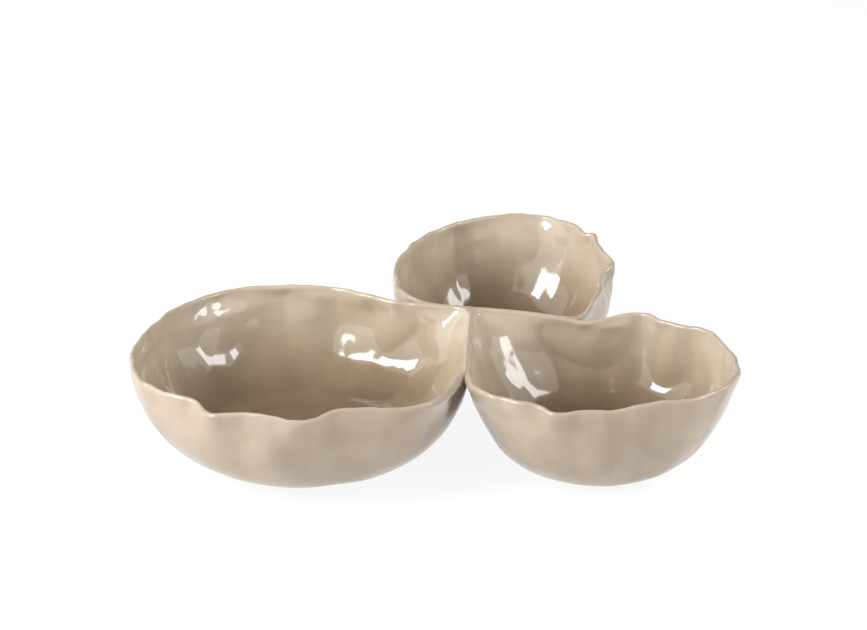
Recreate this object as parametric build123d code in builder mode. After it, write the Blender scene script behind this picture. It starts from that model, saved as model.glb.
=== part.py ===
"""Divided serving bowl: three hand-shaped glazed bowls, pressed together and luted into one dish."""
import os
from dataclasses import dataclass
from math import cos, radians, sin

from build123d import *

# Sizes that the three bowls share, in millimetres
RIM_HEIGHT = 61.5  # crest of the lip above the table, before each rim's own rise and fall
LIP = 3.6  # thickness of the rounded lip
FLOOR = 5.0  # thickness of the flat floor
FLOOR_INSET = 4.0  # the inner floor is this much smaller in radius than the underside
PINCH_FADE = 1.5  # how fast a corner that is pinched out at the rim fades out down the wall
WALL_STEPS = (0, 18, 36, 54, 70, 82, 90)  # steps of the wall's curve in degrees, 90 at the lip

# Each bowl: its middle in plan, the radius that its rim wanders about, and that of its underside.
# A fullness of 2 makes the wall's curve an ellipse, and more makes it squarer
LARGE_CENTRE = (-70.7, -53.3)
LARGE_RADIUS = 92.0
LARGE_BASE = 38.0
LARGE_FULLNESS = 2.2
FRONT_CENTRE = (91.3, -66.3)
FRONT_RADIUS = 69.0
FRONT_BASE = 30.0
FRONT_FULLNESS = 2.1
REAR_CENTRE = (42.3, 70.7)
REAR_RADIUS = 66.0
REAR_BASE = 29.0
REAR_FULLNESS = 2.1

# Plan of the shared walls: each runs from the hub, where all three bowls meet, to its own notch
HUB = (22.3, 4.7)
FRONT_NOTCH = (17.3, -95.3)
LEFT_NOTCH = (-12.7, 12.7)
RIGHT_NOTCH = (89.3, -5.3)
RIGHT_NOTCH_FALL = 4.5  # the rim dips where the rear bowl's wall joins the front bowl
HUB_ROUND = 10.0  # the large and front bowls' corners start to turn this far from the hub
HUB_CORNER = 4.4  # and stay this far short of it
PRESS = 0.4  # each bowl's lip is pressed this far past the middle of a shared wall, then cut flat
FLAT_PAST = 5.0  # the flats run this far past the hub and the rear bowl's notches
FRONT_FLAT_PAST = 14.0  # and this far past the front notch
FLAT_REACH = 14.0  # they take off everything this far beyond the middle of the wall
FLAT_END = 6.0  # rounding at the ends of the flats

# Luting clay under the shared walls
COIL_WIDTH = 8.0
COIL_TOP = RIM_HEIGHT * 0.85
COIL_BOTTOM = RIM_HEIGHT * 0.5
COIL_RUN = 0.55  # share of the shared wall that has a coil under it, from the hub
WAD_RADIUS = 9.0  # wad of clay that closes the gap at the hub
WAD_BOTTOM = RIM_HEIGHT * 0.55
WAD_SINK = 0.8  # its top lies this far below the rim

# Unglazed ring that each bowl stands on
FOOT_HEIGHT = 2.5
FOOT_WIDTH = 6.0
FOOT_STEP = 1.5  # the ring stands in from the edge of the underside by this much
FOOT_ROUND = 0.6  # rounding of the ring's lower edges


@dataclass
class Seam:
    """A shared wall, straight in plan, from the hub to a notch where the two rims part.

    A bowl's side of it is 1 if the bowl is pressed towards the wall's left, seen from the hub,
    and -1 if it is pressed towards the right.
    """

    notch: tuple
    past: float
    fall: float = 0.0

    def plane(self):
        """Upright frame at the hub: X along the wall to the notch, Z up."""
        run = Vector(*self.notch) - Vector(*HUB)
        return Plane(origin=(*HUB, 0), x_dir=run, z_dir=(0, 0, 1))

    def length(self):
        return (Vector(*self.notch) - Vector(*HUB)).length

    def crest(self, side, distance):
        """Point on the crest of a bowl's lip along the wall, at a distance from the hub."""
        height = RIM_HEIGHT - self.fall * (distance / self.length()) ** 2
        return self.plane().from_local_coords(Vector(distance, side * PRESS, height))

    def press_flat(self, side):
        """Cut flat what the bowl being built has beyond the middle of the wall."""
        across = Align.MIN if side > 0 else Align.MAX
        with BuildSketch(self.plane() * Pos(-FLAT_PAST, 0, 0)) as beyond:
            Rectangle(FLAT_PAST + self.length() + self.past, FLAT_REACH, align=(Align.MIN, across))
            fillet(beyond.vertices(), FLAT_END)
        extrude(beyond.sketch, amount=2 * RIM_HEIGHT, mode=Mode.SUBTRACT)


front_seam = Seam(FRONT_NOTCH, FRONT_FLAT_PAST)
left_seam = Seam(LEFT_NOTCH, FLAT_PAST)
right_seam = Seam(RIGHT_NOTCH, FLAT_PAST, RIGHT_NOTCH_FALL)


def hub_corner(one, other):
    """Crest points of a bowl that turns its corner at the hub, from one shared wall to the next."""
    inward = (one.plane().x_dir + other.plane().x_dir).normalized()
    corner = Vector(*HUB, RIM_HEIGHT) + inward * HUB_CORNER
    return [one.crest(1, HUB_ROUND), corner, other.crest(-1, HUB_ROUND)]


@dataclass
class Bowl:
    """One bowl. Its free rim is bearings in degrees, each with its change of radius and height."""

    centre: tuple
    rim_radius: float
    base_radius: float
    fullness: float
    rim: list
    shared: list  # crest points along the shared walls, which close the rim

    def crest(self):
        """Points round the crest of the lip, counter-clockwise."""
        free = []
        for bearing, wider, rise in self.rim:
            reach = self.rim_radius + wider
            x = self.centre[0] + reach * cos(radians(bearing))
            y = self.centre[1] + reach * sin(radians(bearing))
            free.append(Vector(x, y, RIM_HEIGHT + rise))
        return free + self.shared

    def ring(self, side, base_radius, base_height, step):
        """Closed curve round one side of the wall: side is 1 outside, -1 inside, 0 on the crest."""
        crest = self.crest()
        share = sin(radians(step)) ** (2 / self.fullness)
        drop = max(cos(radians(step)), 0) ** (2 / self.fullness)
        points = []
        for before, point, after in zip(crest[-1:] + crest[:-1], crest, crest[1:] + crest[:1]):
            outward = Vector(after.Y - before.Y, before.X - after.X, 0).normalized()
            lip = point + outward * (side * LIP / 2) - Vector(0, 0, abs(side) * LIP / 2)
            spoke = Vector(lip.X - self.centre[0], lip.Y - self.centre[1], 0)
            pinch = max(spoke.length - self.rim_radius, 0)
            reach = base_radius + (spoke.length - pinch - base_radius) * share
            reach += pinch * (1 - drop) ** PINCH_FADE
            plan = Vector(*self.centre, 0) + spoke.normalized() * reach
            points.append((plan.X, plan.Y, lip.Z - (lip.Z - base_height) * drop))
        with BuildLine() as line:
            Spline(*points, periodic=True)
        return line.wire()

    def rings(self):
        """Curves up the outside, over the lip and up the inside."""
        floor = (self.base_radius - FLOOR_INSET, FOOT_HEIGHT + FLOOR)
        outside = [self.ring(1, self.base_radius, FOOT_HEIGHT, step) for step in WALL_STEPS]
        inside = [self.ring(-1, *floor, step) for step in WALL_STEPS]
        lip = [outside[-1], self.ring(0, *floor, WALL_STEPS[-1]), inside[-1]]
        return outside, lip, inside

    def shell(self):
        """The bowl before it is pressed against the others: two walls, a lip and two flats."""
        outside, lip, inside = self.rings()
        walls = [Shell.make_loft(rings).face() for rings in (outside, lip, inside)]
        return Solid(Shell(walls + [Face(outside[0]), Face(inside[0])]))

    def filled(self):
        """The same outside with the hollow filled well above the rim, to shape the luting clay."""
        outside, lip, inside = self.rings()
        heap = self.ring(-1, self.base_radius, 2 * RIM_HEIGHT, WALL_STEPS[0])
        walls = [Shell.make_loft(rings).face() for rings in (outside, lip, [inside[-1], heap])]
        return Solid(Shell(walls + [Face(outside[0]), Face(heap)]))


LARGE = Bowl(
    LARGE_CENTRE, LARGE_RADIUS, LARGE_BASE, LARGE_FULLNESS,
    rim=[
        (62, -8, 0), (76, -4, 0), (92, -1, 0), (108, 4, 0), (126, 6, 0), (145, 3, 0), (162, 0.5, 0.5),
        (176, 1, -0.5), (194, 1.5, 0), (210, 2, 0), (226, -3, 0.5), (243, 0, -1), (256, -3, 0),
        (272, -1, -1), (284, -6, 1), (296, -3, 0.5), (309, 5, 0), (319, 7, 0),
    ],
    shared=[
        front_seam.crest(1, front_seam.length()),
        front_seam.crest(1, front_seam.length() * 3 / 4),
        front_seam.crest(1, front_seam.length() / 2),
        front_seam.crest(1, front_seam.length() / 4),
        *hub_corner(front_seam, left_seam),
        left_seam.crest(-1, left_seam.length()),
    ],
)
FRONT = Bowl(
    FRONT_CENTRE, FRONT_RADIUS, FRONT_BASE, FRONT_FULLNESS,
    rim=[
        (219, 9, 0), (232, 4, 0), (249, 5, -1), (262, 0, 0), (277, -2, 0.5), (294, -5, 0), (308, -1, 0),
        (325, 3, 0), (343, 5, 0), (362, 3, 0), (382, 3, 0), (396, 0, 0), (410, -4, 0), (424, 0, 0),
        (436, -4, -1),
    ],
    shared=[
        right_seam.crest(1, right_seam.length()),
        right_seam.crest(1, right_seam.length() * 2 / 3),
        right_seam.crest(1, right_seam.length() / 3),
        *hub_corner(right_seam, front_seam),
        front_seam.crest(-1, front_seam.length() / 4),
        front_seam.crest(-1, front_seam.length() / 2),
        front_seam.crest(-1, front_seam.length() * 3 / 4),
        front_seam.crest(-1, front_seam.length()),
    ],
)
REAR = Bowl(
    REAR_CENTRE, REAR_RADIUS, REAR_BASE, REAR_FULLNESS,
    rim=[
        (-59, 15.5, -4), (-53, 11.5, -4), (-45, 6, -3.5), (-34, -1, -3), (-16, -2, -1), (3, -0.5, 2),
        (22, 0.5, 4), (42, 3, 6), (62, 9, 7), (80, 9, 7), (97, 4, 7), (115, 0, 6), (138, -4, 5),
        (160, -4.5, 3), (178, -2.5, 1), (198, 1, 0), (212, 6.5, 0), (220, 7.5, 0), (229, 8.5, 0),
    ],
    shared=[
        left_seam.crest(1, left_seam.length() / 2),
        left_seam.crest(1, 0),
        right_seam.crest(-1, right_seam.length() / 4),
        right_seam.crest(-1, right_seam.length() / 2),
        right_seam.crest(-1, right_seam.length() * 3 / 4),
    ],
)


def finish(piece, node):
    """Name a piece and write it."""
    piece.label = node
    export_step(piece, f"parts/{node}.step")


os.makedirs("parts", exist_ok=True)

with BuildPart() as large_bowl:
    add(LARGE.shell())
    front_seam.press_flat(1)
    left_seam.press_flat(-1)
finish(large_bowl.part, "large_bowl")

with BuildPart() as front_bowl:
    add(FRONT.shell())
    right_seam.press_flat(1)
    front_seam.press_flat(-1)
finish(front_bowl.part, "front_bowl")

with BuildPart() as rear_bowl:
    add(REAR.shell())
    left_seam.press_flat(1)
    right_seam.press_flat(-1)
finish(rear_bowl.part, "rear_bowl")

# Wad of clay that closes the three-cornered gap at the hub
large_form, front_form, rear_form = LARGE.filled(), FRONT.filled(), REAR.filled()
with BuildPart() as hub_wad:
    with Locations((*HUB, WAD_BOTTOM)):
        wad_height = RIM_HEIGHT - WAD_SINK - WAD_BOTTOM
        Cylinder(WAD_RADIUS, wad_height, align=(Align.CENTER, Align.CENTER, Align.MIN))
    for form in (large_form, front_form, rear_form):
        add(form, mode=Mode.SUBTRACT)
finish(hub_wad.solids().sort_by(SortBy.VOLUME)[-1], "hub_wad")

# Coils of luting clay, smoothed into the angle under each shared wall
coils = {
    "front_coil": (front_seam, large_form, front_form),
    "left_coil": (left_seam, large_form, rear_form),
    "right_coil": (right_seam, front_form, rear_form),
}
for node, (seam, *forms) in coils.items():
    with BuildPart() as coil:
        with Locations(seam.plane() * Pos(0, 0, COIL_BOTTOM)):
            coil_length = seam.length() * COIL_RUN
            coil_height = COIL_TOP - COIL_BOTTOM
            Box(coil_length, COIL_WIDTH, coil_height, align=(Align.MIN, Align.CENTER, Align.MIN))
        with Locations((*HUB, 0)):
            Cylinder(WAD_RADIUS, 2 * RIM_HEIGHT, mode=Mode.SUBTRACT)
        for form in forms:
            add(form, mode=Mode.SUBTRACT)
    finish(coil.solids().sort_by(SortBy.VOLUME)[-1], node)

# Unglazed foot rings
for node, bowl in (("large_foot", LARGE), ("front_foot", FRONT), ("rear_foot", REAR)):
    with BuildPart() as foot:
        with BuildSketch(Plane(origin=(*bowl.centre, 0))):
            Circle(bowl.base_radius - FOOT_STEP)
            Circle(bowl.base_radius - FOOT_STEP - FOOT_WIDTH, mode=Mode.SUBTRACT)
        extrude(amount=FOOT_HEIGHT)
        fillet(foot.faces().sort_by(Axis.Z)[0].edges(), FOOT_ROUND)
    finish(foot.part, node)
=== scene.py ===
"""Looks of the divided serving bowl: hand-pinched walls, glossy taupe glaze, white studio."""
import math

import bmesh
import bpy
import numpy as np
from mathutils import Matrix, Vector, kdtree, noise


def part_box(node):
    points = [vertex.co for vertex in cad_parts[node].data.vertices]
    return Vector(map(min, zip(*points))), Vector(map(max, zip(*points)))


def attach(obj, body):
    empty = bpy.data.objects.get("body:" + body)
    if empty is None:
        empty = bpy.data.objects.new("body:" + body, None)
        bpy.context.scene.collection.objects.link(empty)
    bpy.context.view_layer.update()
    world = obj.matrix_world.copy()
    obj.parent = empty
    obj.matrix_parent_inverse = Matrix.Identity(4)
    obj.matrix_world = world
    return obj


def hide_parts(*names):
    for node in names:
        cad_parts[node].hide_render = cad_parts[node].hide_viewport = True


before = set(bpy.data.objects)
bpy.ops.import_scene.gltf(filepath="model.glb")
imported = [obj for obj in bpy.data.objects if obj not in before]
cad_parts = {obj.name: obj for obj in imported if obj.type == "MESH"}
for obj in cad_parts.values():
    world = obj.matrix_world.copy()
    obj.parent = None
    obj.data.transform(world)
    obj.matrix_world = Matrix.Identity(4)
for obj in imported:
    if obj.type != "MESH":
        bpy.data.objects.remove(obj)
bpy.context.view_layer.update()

MM = 0.001
SPIN_STEPS = 24
SPIN_CUTS = 19
COLUMNS = SPIN_STEPS * (SPIN_CUTS + 1)  # round each bowl
ROLL_AROUND, ROLL_ALONG = 64, 32  # segments of a roll of clay
MERGE, HALF_ROW = 1e-4, 0.5  # in the work mesh of a bowl, where rows are 1 apart

# Layout of the bowls in plan, as in the CAD. Lengths are in millimetres up to the materials
HUB = np.array((22.3, 4.7))
FRONT_NOTCH = np.array((17.3, -95.3))
LEFT_NOTCH = np.array((-12.7, 12.7))
RIGHT_NOTCH = np.array((89.3, -5.3))
RIGHT_FALL = 4.5  # the ridge falls this much towards the right notch
RIM_HEIGHT = 61.5
FOOT_STEP = 1.5  # the underside reaches this far past the foot ring

# Lips and shared walls
HALF_LIP = 1.55  # half the lip's thickness, which the glaze rounds off
LIP_DROP = 2.1  # the lip's rounding reaches this far down
SWELL_ACROSS, SWELL_DOWN = 0.8, 1.0  # at the front notch the lips are thicker by these shares
SWELL_SPREAD = 10.0  # over this length
RIDGE_HALF, RIDGE_EASE = 0.3, 0.1  # crest lines keep this far from the middle of a shared wall
INNER_HALF, INNER_EASE = 1.6, 25.0  # and the insides this far, let go over a length past the notch
HUB_SHORT = 4.4  # a bowl turns its corner this far short of the hub
HUB_NEAR, HUB_FAR = 15.0, 22.0  # crests closer to the hub than this are joined, and less so further out
HUB_ROOM = 7.5  # widest half gap that is closed there
PART_FROM, PART_TO = 1.2, 3.2  # elsewhere two lips part while half the gap grows from this to this
DIP, HUB_DIP, MOST_DIP = 0.4, 0.04, 1.5  # joined lips dip by these shares of half the gap, and at most
ROOM_LIMIT, ROOM_STEP, ROOM_SLACK = 8.0, 0.05, 0.06  # how half the gap is measured
NEIGHBOUR_POINTS = 6000
SPAN_POINTS = 60  # samples between two points of a rim
SHARP_JOINED = 0.3  # lips that are joined more than this meet in a crisp line

# Walls: 1 is the outside and -1 the inside
FLOOR_TOP = 7.5
BELLY = 2.5  # the clay settles this far past the foot's step all round, inside and outside
RIM_FADE, RIM_FADE_POWER = 9.0, 1.5  # the rim's small waves fade out this far down the wall
BODY_BLUR = {1: 15.0, -1: 24.0}  # and the wall below follows the rim smoothed over this length
PINCH_FADE = {1: 2.0, -1: 3.0}  # how fast a corner pinched out at the rim fades down the wall
ROLL = 0.8  # power that fills out a roll of clay, 1 for an ellipsoid and less for a fuller one

# Marks of the hands: a height, the size of the lumps and the seed of their noise
RIM_WAVES = (0.9, 13, 1)  # up and down
RIM_TEETH = (0.4, 6, 2)
RIM_WOBBLE = (1.0, 9, 3)  # in and out
LIP_UNEVEN = (0.2, 17, 4)  # as a share of the thickness
WALL_LUMPS = (1.6, 40, 5)
FINGERS = {1: (0.4, 18, 6), -1: (0.8, 18, 6)}
NECK = (2.4, 24, 7)  # thumbs draw the wall in, in places just below the lip
NECK_AT, NECK_TALL = 0.86, 0.09  # share of the height, and its spread
MARKS_FROM, MARKS_FULL = 0.03, 0.3  # shares of the height over which the marks begin
MARKS_FADE, MARKS_END = 0.92, 1.0  # and end
MARKS_TALL = 1.3  # the lumps are a little wider than high


def middle_of(foot):
    """Plan middle of a foot ring, the radius of the underside above it and its height."""
    low, high = (np.array(corner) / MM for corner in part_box(foot))
    return (low + high)[:2] / 2, (high - low)[0] / 2 + FOOT_STEP, high[2]


def free_rim(centre, points):
    """Rim points from bearings in degrees, each with its radius and rise."""
    found = []
    for bearing, radius, rise in points:
        turn = math.radians(bearing)
        x, y = centre[0] + radius * math.cos(turn), centre[1] + radius * math.sin(turn)
        found.append((x, y, RIM_HEIGHT + rise))
    return found


def own_side(centre, notch):
    """Direction along a shared wall from the hub, and the one across it towards a bowl."""
    along = (notch - HUB) / np.linalg.norm(notch - HUB)
    across = np.array((-along[1], along[0]))
    return along, across * np.sign(np.dot(centre - HUB, across))


def on_seam(centre, notch, shares, fall=0.0):
    """Crest points along a shared wall, at shares of the way from the hub to its notch."""
    along, across = own_side(centre, notch)
    length = np.linalg.norm(notch - HUB)
    places = [HUB + along * length * share + across * RIDGE_HALF for share in shares]
    return [(*place, RIM_HEIGHT - fall * share ** 2) for place, share in zip(places, shares)]


def hub_corner(centre, one, other):
    """Crest point of a bowl that turns its corner at the hub, a little short of it."""
    inward = own_side(centre, one)[0] + own_side(centre, other)[0]
    return [(*(HUB + inward / np.linalg.norm(inward) * HUB_SHORT), RIM_HEIGHT)]


# Each bowl: its rim round the free side, then along the shared walls. A rim beyond the radius counts as
# pinched out, fullness is the power of the wall's curve, and the number after it scales how dark the
# floor
# is painted: partly glaze that gathers thick there, partly painted shade.
# Dents are a bearing, its spread in degrees, a share of the height, its spread and a depth, inwards if
# negative. Creases are upright folds that bulge out: a bearing, its spread and a depth. Flats are places
# where the underside is wider or narrower: a bearing, its spread and a length
large_centre, large_base, foot_top = middle_of("large_foot")
front_centre, front_base, foot_top = middle_of("front_foot")
rear_centre, rear_base, foot_top = middle_of("rear_foot")
BOWLS = {
    "large_bowl": dict(
        centre=large_centre, base=large_base, radius=92.0, fullness=2.2, pool_and_painted_shade=1.0,
        seams=[FRONT_NOTCH, LEFT_NOTCH],
        rim=free_rim(large_centre, [
            (57, 83, 0), (64, 83.5, 0), (70, 84.5, 0.3), (77, 88.5, 0), (84, 90.5, 0), (95, 92, 0),
            (108, 96, 0), (118, 98, 0), (129, 98, 0), (145, 95, 0), (160, 92.5, 0.5), (170, 92, 0.5),
            (178, 93.5, -0.5), (187, 93.5, 0.5), (196, 94, 0), (210, 94.5, 0), (219, 92, 0.3),
            (225, 90, 0.5), (231, 87.5, 0), (237, 89.5, -0.8), (243, 93, -1), (249, 90, -0.3),
            (256, 88.5, 0), (264, 89.5, -0.3), (272, 91.5, -1), (277, 89.5, -0.5), (283, 85.5, 0.8),
            (289, 85.5, 1), (296, 88.5, 0.5), (303, 93.5, 0), (310, 98.5, 0), (316, 99.5, 0),
            (323, 97, 0), (330, 94, 0.4), (335.5, 93.4, 0.5),
        ]) + on_seam(large_centre, FRONT_NOTCH, (0.9, 0.75, 0.6, 0.4, 0.25, 0.1))
        + hub_corner(large_centre, FRONT_NOTCH, LEFT_NOTCH)
        + on_seam(large_centre, LEFT_NOTCH, (0.28, 0.6, 1)),
        dents=[
            (250, 6, 0.55, 0.30, -1.6), (262, 5, 0.60, 0.25, 1.2), (284, 7, 0.55, 0.30, -1.5),
            (232, 6, 0.45, 0.25, 1.0), (216, 7, 0.60, 0.30, -1.2), (300, 7, 0.5, 0.3, 1.2),
            (92, 8, 0.60, 0.30, -1.6), (108, 7, 0.70, 0.25, 1.3), (130, 6, 0.62, 0.22, -1.8),
            (72, 7, 0.65, 0.25, 1.0), (150, 8, 0.60, 0.25, 1.2), (166, 8, 0.50, 0.25, -1.2),
            (190, 22, 0.75, 0.25, 1.5), (58, 20, 0.26, 0.20, 2.2), (120, 5, 0.35, 0.20, 1.0),
            (15, 9, 0.55, 0.25, 1.2), (356, 8, 0.6, 0.3, -1.0), (334, 9, 0.82, 0.16, -2.8),
        ],
        creases=[(101, 4, 0.9), (81, 4, 0.7), (138, 4, 0.8)],
        flats=[(226, 25, -3.5)],
    ),
    "front_bowl": dict(
        centre=front_centre, base=front_base, radius=69.0, fullness=2.1, pool_and_painted_shade=1.05,
        seams=[RIGHT_NOTCH, FRONT_NOTCH],
        rim=free_rim(front_centre, [
            (199.5, 77, 0.5), (206, 78.5, 0.4), (213, 79.5, 0), (220, 77.5, 0), (227, 75, 0),
            (233, 73.5, 0), (240, 72.5, -0.5), (247, 75, -1.2),
            (253, 72.5, -0.5), (260, 69, 0), (267, 69, 0), (273, 68.5, 0.3), (281, 65.3, 0.5),
            (290, 64, 0.2), (299, 64.5, 0), (306, 67, -0.3), (312, 70, -0.3), (320, 70.8, 0),
            (328, 73, 0), (337, 74, 0),
            (349, 74, 0), (360, 72.5, 0), (371, 71.5, 0), (383, 72, 0), (393, 71.5, 0), (401, 67.5, 0),
            (408, 65.5, 0), (415, 65, 0), (422, 68.5, 0), (428, 68.8, -0.3), (437, 65, -1.5),
        ]) + on_seam(front_centre, RIGHT_NOTCH, (1, 0.8, 0.6, 0.4, 0.15), RIGHT_FALL)
        + hub_corner(front_centre, RIGHT_NOTCH, FRONT_NOTCH)
        + on_seam(front_centre, FRONT_NOTCH, (0.1, 0.25, 0.4, 0.6, 0.75, 0.9)),
        dents=[
            (255, 6, 0.55, 0.30, -1.4), (270, 6, 0.55, 0.30, 1.3), (286, 7, 0.60, 0.30, -1.4),
            (238, 7, 0.50, 0.30, 1.0), (305, 7, 0.50, 0.25, 1.0), (322, 8, 0.60, 0.30, -1.0),
            (62, 7, 0.65, 0.30, 1.5), (48, 7, 0.60, 0.30, -1.5), (33, 7, 0.60, 0.30, 1.2),
            (80, 8, 0.60, 0.25, -1.2), (12, 8, 0.55, 0.25, -1.0), (352, 8, 0.50, 0.25, 1.0),
            (150, 8, 0.60, 0.25, 1.2), (172, 8, 0.55, 0.25, -1.2), (112, 8, 0.55, 0.25, 1.2),
            (222, 22, 0.30, 0.35, 1.6), (50, 18, 0.26, 0.20, 1.8),
        ],
        creases=[(54, 4, 0.9), (128, 4, 0.8), (20, 4, 0.7)],
        flats=[(327, 25, -3.5), (215, 25, 2)],
    ),
    "rear_bowl": dict(
        centre=rear_centre, base=rear_base, radius=66.0, fullness=2.1, pool_and_painted_shade=1.0,
        seams=[LEFT_NOTCH, RIGHT_NOTCH],
        rim=free_rim(rear_centre, [
            (-58, 80.5, -4.2), (-52, 76.5, -4.2), (-45, 71, -4.2), (-31, 64.5, -4.3), (-20, 61, -3.8),
            (-8, 59.5, -2.3), (2, 66.5, 1.5), (12, 64.5, 3), (24, 65.5, 4.5), (31, 68.5, 5.5),
            (35.5, 70.3, 6.2), (38.5, 68.5, 5.6), (45, 70, 6.3), (54, 73, 6.8), (63, 75, 7),
            (72, 75.3, 7), (80, 75, 7), (97, 70, 7), (115, 66, 6), (127, 63.5, 5.6), (138, 62, 5),
            (150, 61.5, 4), (160, 61.5, 3), (170, 63, 2.2), (178, 63.5, 1), (188, 65.5, 0.4),
            (198, 67, 0), (212, 72.5, 0), (220, 73.5, 0), (229, 74.5, 0),
        ]) + on_seam(rear_centre, LEFT_NOTCH, (0.5, 0.25, 0))
        + on_seam(rear_centre, RIGHT_NOTCH, (0.2, 0.4, 0.6, 0.75), RIGHT_FALL),
        dents=[
            (100, 8, 0.60, 0.30, -1.2), (84, 8, 0.55, 0.30, 1.0), (150, 9, 0.60, 0.30, 1.2),
            (172, 8, 0.55, 0.25, -1.2), (30, 8, 0.55, 0.30, -1.0), (8, 9, 0.60, 0.25, 1.0),
            (200, 9, 0.60, 0.25, 1.0), (255, 9, 0.55, 0.25, -1.0), (300, 9, 0.55, 0.25, 1.0),
            (-10, 20, 0.60, 0.45, 3.0),
        ],
        creases=[(117, 4, 1.5), (52, 4, 1.5), (190, 5, 0.8)],
        flats=[],
    ),
}


def closed_curve(points, count):
    """Smooth closed curve through given points, as evenly spaced samples."""
    points = np.array(points, float)
    chord = np.linalg.norm(np.roll(points, -1, 0) - points, axis=1)
    knots = len(points)
    matrix, right = np.zeros((knots, knots)), np.zeros((knots, 3))
    slope = (np.roll(points, -1, 0) - points) / chord[:, None]
    for k in range(knots):
        matrix[k, k - 1] += chord[k - 1] / 6
        matrix[k, k] += (chord[k - 1] + chord[k]) / 3
        matrix[k, (k + 1) % knots] += chord[k] / 6
        right[k] = slope[k] - slope[k - 1]
    bend = np.linalg.solve(matrix, right)
    runs = []
    for k in range(knots):
        after, length = (k + 1) % knots, chord[k]
        t = np.linspace(0, 1, SPAN_POINTS, endpoint=False)[:, None]
        run = points[k] * (1 - t) + points[after] * t
        run += ((1 - t) ** 3 - (1 - t)) * bend[k] * length ** 2 / 6
        run += (t ** 3 - t) * bend[after] * length ** 2 / 6
        runs.append(run)
    dense = np.concatenate(runs)
    ends = np.concatenate([dense, dense[:1]])
    along = np.concatenate([[0], np.cumsum(np.linalg.norm(np.diff(ends, axis=0), axis=1))])
    wanted = np.linspace(0, along[-1], count, endpoint=False)
    return np.stack([np.interp(wanted, along, ends[:, axis]) for axis in range(3)], axis=1)


def soft_step(low, high, value):
    share = np.clip((value - low) / (high - low), 0, 1)
    return share * share * (3 - 2 * share)


def kept_inside(bowl, ring, gap, ease):
    """A ring of points kept on a bowl's own side of its shared walls, a gap away at least.

    Past a notch this eases off over a length."""
    for notch in bowl["seams"]:
        along, across = own_side(bowl["centre"], notch)
        reach = (ring[:, :2] - HUB) @ along
        beside = (reach > 0) * (1 - soft_step(0, ease, reach - np.linalg.norm(notch - HUB)))
        short = np.maximum(gap - (ring[:, :2] - HUB) @ across, 0) * beside
        ring[:, :2] += across * short[:, None]
    return ring


def crest_line(bowl, count):
    """The rim's curve, kept to the bowl's own side of its shared walls."""
    return kept_inside(bowl, closed_curve(bowl["rim"], count), RIDGE_HALF, RIDGE_EASE)


def unevenness(places, height, size, seed):
    """Smooth noise at places, with lumps of a height and size."""
    shift = Vector((seed, 0, 0))
    return height * np.array([noise.noise(Vector(place) / size + shift) for place in places])


def smoothed(values, spread):
    """Values round a bowl, averaged over a spread in columns."""
    away = np.minimum(np.arange(COLUMNS), COLUMNS - np.arange(COLUMNS))
    weight = np.exp(-(away / spread) ** 2 / 2)
    return np.fft.ifft(np.fft.fft(values) * np.fft.fft(weight / weight.sum())).real


def outward_of(crest):
    tangent = np.roll(crest, -1, 0) - np.roll(crest, 1, 0)
    outward = np.stack([tangent[:, 1], -tangent[:, 0]], axis=1)
    return outward / np.linalg.norm(outward, axis=1)[:, None]


def room_outside(name):
    """Half the gap from each crest point to a neighbour: how far its lip may reach."""
    neighbours = [bowl for key, bowl in BOWLS.items() if key != name]
    others = np.concatenate([crest_line(bowl, NEIGHBOUR_POINTS)[:, :2] for bowl in neighbours])
    tree = kdtree.KDTree(len(others))
    for k, point in enumerate(others):
        tree.insert((*point, 0), k)
    tree.balance()
    crest, outward = BOWLS[name]["crest"], BOWLS[name]["outward"]
    room = np.full(COLUMNS, ROOM_LIMIT)
    for i in range(COLUMNS):
        reach = 0.0
        while reach < ROOM_LIMIT:
            point = crest[i, :2] + outward[i] * reach
            if tree.find((*point, 0))[2] <= reach + ROOM_SLACK:
                room[i] = reach
                break
            reach += ROOM_STEP
    return room


for name, bowl in BOWLS.items():
    bowl["crest"] = crest_line(bowl, COLUMNS)
    bowl["outward"] = outward_of(bowl["crest"])
    bowl["pitch"] = np.linalg.norm(np.roll(bowl["crest"], -1, 0) - bowl["crest"], axis=1).mean()
    bowl["room"] = room_outside(name)
    from_hub = np.linalg.norm(bowl["crest"][:, :2] - HUB, axis=1)
    near_hub = 1 - soft_step(HUB_NEAR, HUB_FAR, from_hub)
    together = 1 - soft_step(PART_FROM, PART_TO, bowl["room"])
    bowl["joined"] = np.maximum(near_hub * (bowl["room"] < HUB_ROOM), together)
    dip = HUB_DIP * near_hub + DIP * (1 - near_hub)
    bowl["valley"] = np.minimum(bowl["room"] * dip, MOST_DIP)
    # Small unevenness of a rim that was pinched by hand, away from the shared walls
    free = 1 - bowl["joined"]
    places = bowl["crest"].copy()
    waves = unevenness(places, *RIM_WAVES) + unevenness(places, *RIM_TEETH)
    bowl["crest"][:, 2] += free * waves
    bowl["crest"][:, :2] += bowl["outward"] * (free * unevenness(places, *RIM_WOBBLE))[:, None]
    from_notch = np.linalg.norm(places[:, :2] - FRONT_NOTCH, axis=1)
    swell = np.exp(-(from_notch / SWELL_SPREAD) ** 2)
    uneven = 1 + unevenness(places, *LIP_UNEVEN)
    bowl["half_lip"] = HALF_LIP * uneven * (1 + SWELL_ACROSS * swell)
    bowl["lip_drop"] = LIP_DROP * (1 + SWELL_DOWN * swell)
    spoke = places[:, :2] - bowl["centre"]
    bowl["spoke"] = spoke / np.linalg.norm(spoke, axis=1)[:, None]
    bowl["bearing"] = np.degrees(np.arctan2(spoke[:, 1], spoke[:, 0]))

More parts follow.
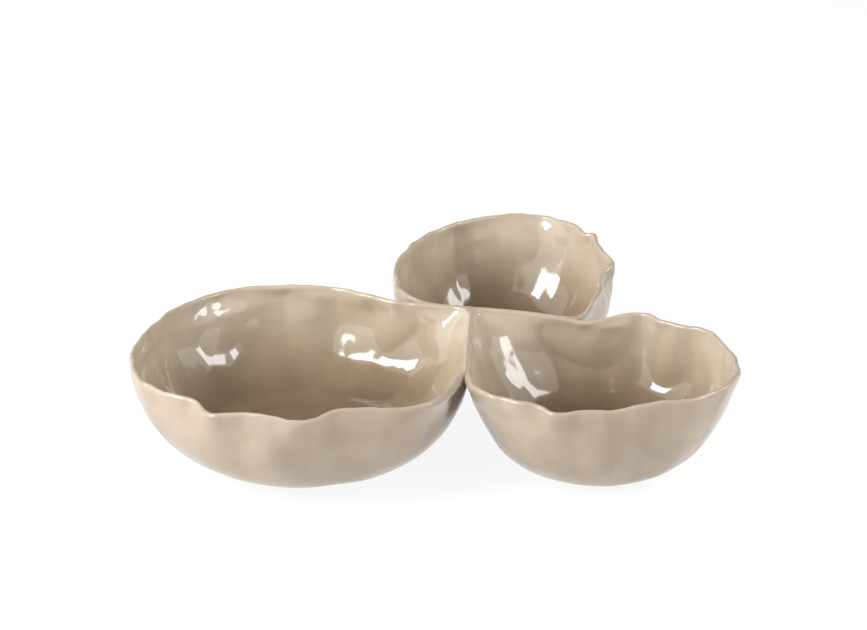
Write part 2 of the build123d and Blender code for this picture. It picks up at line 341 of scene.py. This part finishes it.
# Rows of points: degrees round the wall's curve and the lip, and shares of the floor's radius
WALL_STEPS = np.linspace(0, 90, 46)
LIP_STEPS = np.array((90, 76, 61, 46, 31, 18, 8, 2.5))
FLOOR_SHARES = (0.3, 0.6, 0.85)
ROWS = (
    [("under", 0.0)] + [("under", share) for share in FLOOR_SHARES]
    + [("outside", step) for step in WALL_STEPS[:-1]]
    + [("lip_out", step) for step in LIP_STEPS] + [("crest", 0.0)]
    + [("lip_in", step) for step in LIP_STEPS[::-1]]
    + [("inside", step) for step in WALL_STEPS[-2::-1]]
    + [("floor", share) for share in FLOOR_SHARES[::-1]] + [("floor", 0.0)]
)


def turn_from(bowl, middle):
    """Degrees from a bearing to each column of a bowl, -180 to 180."""
    return (bowl["bearing"] - middle + 180) % 360 - 180


def relief(bowl, side, height):
    """How far fingers moved the wall outwards at a share of its height, in each column."""
    moved = np.zeros(COLUMNS)
    for middle, spread, up, tall, depth in bowl["dents"]:
        turn = turn_from(bowl, middle)
        moved += depth * np.exp(-(turn / spread) ** 2 - ((height - up) / tall) ** 2)
    for middle, spread, depth in bowl["creases"]:
        turn = turn_from(bowl, middle)
        moved += depth * np.exp(1 - np.sqrt(1 + (turn / spread * 2) ** 2)) * height
    places = np.empty((COLUMNS, 3))
    places[:, :2] = bowl["centre"] + bowl["spoke"] * bowl["radius"]
    places[:, 2] = height * RIM_HEIGHT * MARKS_TALL
    moved += unevenness(places, *WALL_LUMPS) + unevenness(places, *FINGERS[side])
    at_neck = math.exp(-((height - NECK_AT) / NECK_TALL) ** 2)
    moved -= np.maximum(unevenness(places, *NECK), 0) * at_neck
    begun = soft_step(MARKS_FROM, MARKS_FULL, height)
    return moved * begun * (1 - soft_step(MARKS_FADE, MARKS_END, height))


def wall(bowl, side, step):
    """One ring of a wall, from the underside or floor at step 0 to the lip at 90."""
    lip = bowl["crest"][:, :2] + bowl["outward"] * side * bowl["half_lip"][:, None]
    lip_height = bowl["crest"][:, 2] - bowl["lip_drop"]
    spoke = lip - bowl["centre"]
    reach = np.linalg.norm(spoke, axis=1)
    base = np.full(COLUMNS, bowl["base"] + BELLY)
    for middle, spread, more in bowl["flats"]:
        base += more * np.exp(-(turn_from(bowl, middle) / spread) ** 2)
    low = foot_top if side > 0 else FLOOR_TOP
    power = 2 / bowl["fullness"]
    share = math.sin(math.radians(step)) ** power
    drop = max(math.cos(math.radians(step)), 0) ** power
    ring = np.empty((COLUMNS, 3))
    ring[:, 2] = lip_height - (lip_height - low) * drop
    waves = np.exp(-((lip_height - ring[:, 2]) / RIM_FADE) ** RIM_FADE_POWER)
    body = smoothed(reach, BODY_BLUR[side] / bowl["pitch"])
    body = body + (reach - body) * waves
    pinch = np.maximum(body - bowl["radius"], 0)
    wide = base + (body - pinch - base) * share + pinch * (1 - drop) ** PINCH_FADE[side]
    wide += relief(bowl, side, 1 - drop)
    ring[:, :2] = bowl["centre"] + spoke / reach[:, None] * wide[:, None]
    return ring if side > 0 else kept_inside(bowl, ring, INNER_HALF, INNER_EASE)


def rings(bowl):
    """All rings of a bowl, from the middle of its underside to the middle of its floor."""
    crest, outward, room, joined = (bowl[key] for key in ("crest", "outward", "room", "joined"))
    reach = np.minimum(bowl["half_lip"] * (1 - joined) + room * joined, room)
    made = []
    for kind, value in ROWS:
        if kind in ("under", "floor"):
            edge = wall(bowl, 1 if kind == "under" else -1, 0)
            ring = edge.copy()
            ring[:, :2] = bowl["centre"] + (edge[:, :2] - bowl["centre"]) * value
        elif kind == "outside":
            ring = wall(bowl, 1, value)
            past = np.sum((ring[:, :2] - crest[:, :2]) * outward, axis=1)
            ring[:, :2] -= outward * np.maximum(past - room, 0)[:, None]
        elif kind == "inside":
            ring = wall(bowl, -1, value)
        else:
            turn = math.radians(value)
            out = kind == "lip_out"
            ring = crest.copy()
            across = math.sin(turn)
            ring[:, :2] += outward * (across * (reach if out else -bowl["half_lip"]))[:, None]
            sunk = (1 - math.cos(turn)) * bowl["lip_drop"]
            if out:
                valley = bowl["valley"] * (1 - math.cos(math.pi * across)) / 2
                sunk = sunk * (1 - joined) + joined * valley
            ring[:, 2] -= sunk
        made.append(ring)
    return np.array(made)


def glazed_piece(work, name):
    """The piece that a work mesh makes, in the place of a CAD solid."""
    for face in work.faces:
        face.smooth = True
    mesh = bpy.data.meshes.new(name + "_glazed")
    work.to_mesh(mesh)
    work.free()
    piece = bpy.data.objects.new(name + "_glazed", mesh)
    bpy.context.scene.collection.objects.link(piece)
    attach(piece, "root")
    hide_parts(name)
    return piece


def bowl_piece(name):
    """A bowl as a spun shell, with each ring moved to where the rim and walls put it."""
    bowl = BOWLS[name]
    shape = rings(bowl)
    work = bmesh.new()
    ends = (0, len(ROWS) - 1)
    profile = [work.verts.new((0 if row in ends else 1, 0, row)) for row in range(len(ROWS))]
    edges = [work.edges.new(pair) for pair in zip(profile, profile[1:])]
    bmesh.ops.spin(
        work, geom=profile + edges, cent=(0, 0, 0), axis=(0, 0, 1), angle=math.tau,
        steps=SPIN_STEPS, use_merge=True,
    )
    bmesh.ops.remove_doubles(work, verts=work.verts, dist=MERGE)
    hoops = [edge for edge in work.edges if abs(edge.verts[0].co.z - edge.verts[1].co.z) < HALF_ROW]
    bmesh.ops.subdivide_edges(work, edges=hoops, cuts=SPIN_CUTS)
    bmesh.ops.recalc_face_normals(work, faces=work.faces)
    lip_rows = [row for row, (kind, value) in enumerate(ROWS) if kind == "lip_out"]
    down_wall = work.verts.layers.float.new("down_wall")
    place = {}
    for vert in work.verts:
        row = round(vert.co.z)
        column = round(math.atan2(vert.co.y, vert.co.x) / math.tau * COLUMNS) % COLUMNS
        place[vert] = (row, column)
    for vert, (row, column) in place.items():
        vert.co = Vector(shape[row, column]) * MM
        depth = 1 - (shape[row, column][2] - foot_top) / (bowl["crest"][column, 2] - foot_top)
        # The inside's depth is scaled per bowl, which paints its floor darker: partly glaze gathered
        # there, partly painted shade
        vert[down_wall] = -depth if row < lip_rows[-1] else depth * bowl["pool_and_painted_shade"]
    for edge in work.edges:
        (row, column), (other, beside) = (place[vert] for vert in edge.verts)
        edge.smooth = not (row == other == lip_rows[0] and bowl["joined"][column] > SHARP_JOINED)
    return glazed_piece(work, name)


def coil_piece(name, notch):
    """The roll of clay under a shared wall, with rounded ends, in the place of its CAD solid."""
    low, high = (np.array(corner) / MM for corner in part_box(name))
    middle, half = (low + high) / 2, (high - low) / 2
    along = (notch - HUB) / np.linalg.norm(notch - HUB)
    across = np.array((-along[1], along[0]))
    # Length and width of the turned bar that has the solid's box
    a, b = np.abs(along)
    length = (a * half[0] - b * half[1]) / (a * a - b * b)
    width = (a * half[1] - b * half[0]) / (a * a - b * b)
    work = bmesh.new()
    bmesh.ops.create_uvsphere(work, u_segments=ROLL_AROUND, v_segments=ROLL_ALONG, radius=1)
    for vert in work.verts:
        unit = np.array(vert.co)
        full = np.sign(unit) * np.abs(unit) ** ROLL
        spot = middle[:2] + along * length * full[0] + across * width * full[1]
        vert.co = Vector((*spot, middle[2] + half[2] * full[2])) * MM
    return glazed_piece(work, name)


# Sizes of the patterns in the materials, in metres
CLOUDS = 26 * MM
BRUSHED = 8 * MM
GRIT = 0.8 * MM


def linear(hex_colour):
    """sRGB hex to linear RGBA."""
    parts = [int(hex_colour[k:k + 2], 16) / 255 for k in (1, 3, 5)]
    return [c / 12.92 if c <= 0.04045 else ((c + 0.055) / 1.055) ** 2.4 for c in parts] + [1.0]


def node(tree, kind, links=None, stops=(), **settings):
    """Add a node: settings are its properties or input values, links feed its inputs.

    Stops are a colour ramp's positions and sRGB hex colours."""
    made = tree.nodes.new(kind)
    for key, value in settings.items():
        if hasattr(made, key):
            setattr(made, key, value)
        else:
            made.inputs[key.replace("_", " ")].default_value = value
    for key, source in (links or {}).items():
        tree.links.new(source, made.inputs[key])
    for k, (position, colour) in enumerate(stops):
        points = made.color_ramp.elements
        point = points[k] if k < len(points) else points.new(position)
        point.position, point.color = position, linear(colour)
    return made


def new_material(name):
    made = bpy.data.materials.new(name)
    made.use_nodes = True
    made.node_tree.nodes.clear()
    return made, made.node_tree


def glazed_stoneware():
    """Stoneware under a thick taupe glaze: mirror-like inside, softer outside and dull on the lip,
    where it runs thin and pale, with soft clouds and a faint brushed ripple. Its colour holds painted
    light: lighter up the inside walls, and darker down to the floor, partly glaze that gathers thick
    there and partly painted shade."""
    made, tree = new_material("glazed_stoneware")
    place = node(tree, "ShaderNodeTexCoord").outputs["Object"]
    down = node(tree, "ShaderNodeAttribute", attribute_name="down_wall").outputs["Fac"]
    share = node(tree, "ShaderNodeMapRange", {"Value": down}, From_Min=-1.0, From_Max=1.0)
    share = share.outputs["Result"]
    # Colour down the wall: the outside a little darker towards the foot, the lip pale where the glaze is
    # thin, the upper inside walls lighter, which is painted light, and the lower inside and floor
    # darker, partly glaze that gathers there and partly painted shade
    coat_with_painted_light = node(tree, "ShaderNodeValToRGB", {"Fac": share}, [
        (0.0, "#afa18f"), (0.42, "#b3a492"), (0.49, "#b7a896"), (0.5, "#c0b19e"), (0.51, "#cbbda9"),
        (0.6, "#cbbda8"), (0.8, "#a89881"), (0.9, "#907f68"), (0.955, "#806e57"), (0.985, "#5e4a33"),
    ])
    clouds = node(
        tree, "ShaderNodeTexNoise", {"Vector": place}, Scale=1 / CLOUDS, Detail=3.0, Roughness=0.55,
    )
    tint = node(
        tree, "ShaderNodeValToRGB", {"Fac": clouds.outputs["Fac"]}, [(0.3, "#ece8e4"), (0.7, "#ffffff")],
    )
    colour = node(tree, "ShaderNodeMix", data_type="RGBA", blend_type="MULTIPLY")
    colour.inputs["Factor"].default_value = 1.0
    tree.links.new(coat_with_painted_light.outputs["Color"], colour.inputs["A"])
    tree.links.new(tint.outputs["Color"], colour.inputs["B"])
    ripple = node(tree, "ShaderNodeTexNoise", {"Vector": place}, Scale=1 / BRUSHED, Detail=1.0)
    bump = node(
        tree, "ShaderNodeBump", {"Height": ripple.outputs["Fac"]}, Strength=0.05, Distance=1 * MM,
    )
    dull = node(
        tree, "ShaderNodeValToRGB", {"Fac": share},
        [(0.475, "#747474"), (0.5, "#959595"), (0.525, "#505050")],
    )
    shader = node(
        tree, "ShaderNodeBsdfPrincipled",
        {
            "Base Color": colour.outputs["Result"], "Normal": bump.outputs["Normal"],
            "Roughness": dull.outputs["Color"],
        },
        IOR=1.52,
    )
    node(tree, "ShaderNodeOutputMaterial", {"Surface": shader.outputs["BSDF"]})
    return made


def bare_clay():
    """Fired clay wiped free of glaze: matt, sandy, a little paler than the glaze."""
    made, tree = new_material("bare_fired_clay")
    place = node(tree, "ShaderNodeTexCoord").outputs["Object"]
    grit = node(tree, "ShaderNodeTexNoise", {"Vector": place}, Scale=1 / GRIT, Detail=2.0)
    colour = node(
        tree, "ShaderNodeValToRGB", {"Fac": grit.outputs["Fac"]}, [(0.3, "#b39d82"), (0.7, "#cdb99d")],
    )
    bump = node(tree, "ShaderNodeBump", {"Height": grit.outputs["Fac"]}, Strength=0.4, Distance=0.2 * MM)
    shader = node(
        tree, "ShaderNodeBsdfPrincipled",
        {"Base Color": colour.outputs["Color"], "Normal": bump.outputs["Normal"]}, Roughness=0.85,
    )
    node(tree, "ShaderNodeOutputMaterial", {"Surface": shader.outputs["BSDF"]})
    return made


glaze, clay = glazed_stoneware(), bare_clay()
for name in BOWLS:
    bowl_piece(name).data.materials.append(glaze)
COILS = {"front_coil": FRONT_NOTCH, "left_coil": LEFT_NOTCH, "right_coil": RIGHT_NOTCH}
for name, notch in COILS.items():
    coil_piece(name, notch).data.materials.append(glaze)
for name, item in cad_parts.items():
    item.data.materials.clear()
    item.data.materials.append(clay if name.endswith("_foot") else glaze)


# White table: rays that come straight from the camera, off a mirror or through glass see most of it as a
# plain white glow, and the rest is paint that keeps the dish's soft shadow
TABLE_HALF = 4.0
GLOW_SHARE, GLOW = 0.85, 1.06
work = bmesh.new()
bmesh.ops.create_grid(work, x_segments=1, y_segments=1, size=TABLE_HALF)
table_mesh = bpy.data.meshes.new("table")
work.to_mesh(table_mesh)
work.free()
table = bpy.data.objects.new("table", table_mesh)
bpy.context.scene.collection.objects.link(table)
white, tree = new_material("white_table")
rays = node(tree, "ShaderNodeLightPath").outputs
straight, mirrored, through = rays["Is Camera Ray"], rays["Is Glossy Ray"], rays["Is Transmission Ray"]
seen = node(tree, "ShaderNodeMath", {0: straight, 1: mirrored}, operation="MAXIMUM")
seen = node(tree, "ShaderNodeMath", {0: seen.outputs[0], 1: through}, operation="MAXIMUM")
share = node(tree, "ShaderNodeMath", {0: seen.outputs[0]}, operation="MULTIPLY")
share.inputs[1].default_value = GLOW_SHARE
paint = node(tree, "ShaderNodeBsdfDiffuse", Color=linear("#f4f4f4"))
glow = node(tree, "ShaderNodeEmission", Color=linear("#ffffff"), Strength=GLOW)
mix = node(tree, "ShaderNodeMixShader", {0: share.outputs[0], 1: paint.outputs[0], 2: glow.outputs[0]})
node(tree, "ShaderNodeOutputMaterial", {"Surface": mix.outputs[0]})
table_mesh.materials.append(white)

# Surroundings: pale near the horizon and darker overhead
scene = bpy.context.scene
world = bpy.data.worlds.new("studio")
scene.world = world
world.use_nodes = True
tree = world.node_tree
tree.nodes.clear()
direction = node(tree, "ShaderNodeTexCoord").outputs["Generated"]
height = node(tree, "ShaderNodeSeparateXYZ", {0: direction}).outputs["Z"]
sky = node(
    tree, "ShaderNodeValToRGB", {"Fac": height},
    [(0.0, "#d0d0d0"), (0.14, "#c8c8c8"), (0.34, "#7c7c7c"), (0.6, "#585858")],
)
lit = node(tree, "ShaderNodeBackground", {"Color": sky.outputs["Color"]})
node(tree, "ShaderNodeOutputWorld", {"Surface": lit.outputs[0]})


def softbox(name, place, aim, size, power):
    """An area lamp at a place, turned to an aim, in metres and watts."""
    lamp = bpy.data.lights.new(name, "AREA")
    lamp.shape = "RECTANGLE"
    lamp.size, lamp.size_y, lamp.energy = size[0], size[1], power
    holder = bpy.data.objects.new(name, lamp)
    holder.location = place
    holder.rotation_euler = (Vector(aim) - Vector(place)).to_track_quat("-Z", "Y").to_euler()
    scene.collection.objects.link(holder)


# Two softboxes that the glaze mirrors, and two large dim panels beside the table
softbox("key_left", (-1.0, -0.56, 0.83), (0, 0, 0.04), (0.42, 0.6), 15)
softbox("fill_right", (1.16, -0.22, 0.76), (0, 0, 0.04), (0.45, 0.5), 7.5)
softbox("panel_left", (-1.5, -0.5, 0.9), (0, 0, 0.1), (2.4, 1.8), 26)
softbox("panel_right", (1.5, -0.35, 0.9), (0, 0, 0.1), (1.9, 1.0), 10)

# Camera as in the photograph: a long lens, a little above the dish
CAMERA_AIM = Vector((0.3, -7.35, 61.5)) * MM
CAMERA_TILT = math.radians(22.5)
CAMERA_AWAY = 1.168
LENS, SENSOR = 85, 36
lens = bpy.data.cameras.new("camera")
lens.lens, lens.sensor_width = LENS, SENSOR
camera = bpy.data.objects.new("camera", lens)
back = Vector((0, -math.cos(CAMERA_TILT), math.sin(CAMERA_TILT)))
camera.location = CAMERA_AIM + back * CAMERA_AWAY
camera.rotation_euler = (math.pi / 2 - CAMERA_TILT, 0, 0)
scene.collection.objects.link(camera)
scene.camera = camera
scene.view_settings.view_transform = "Standard"
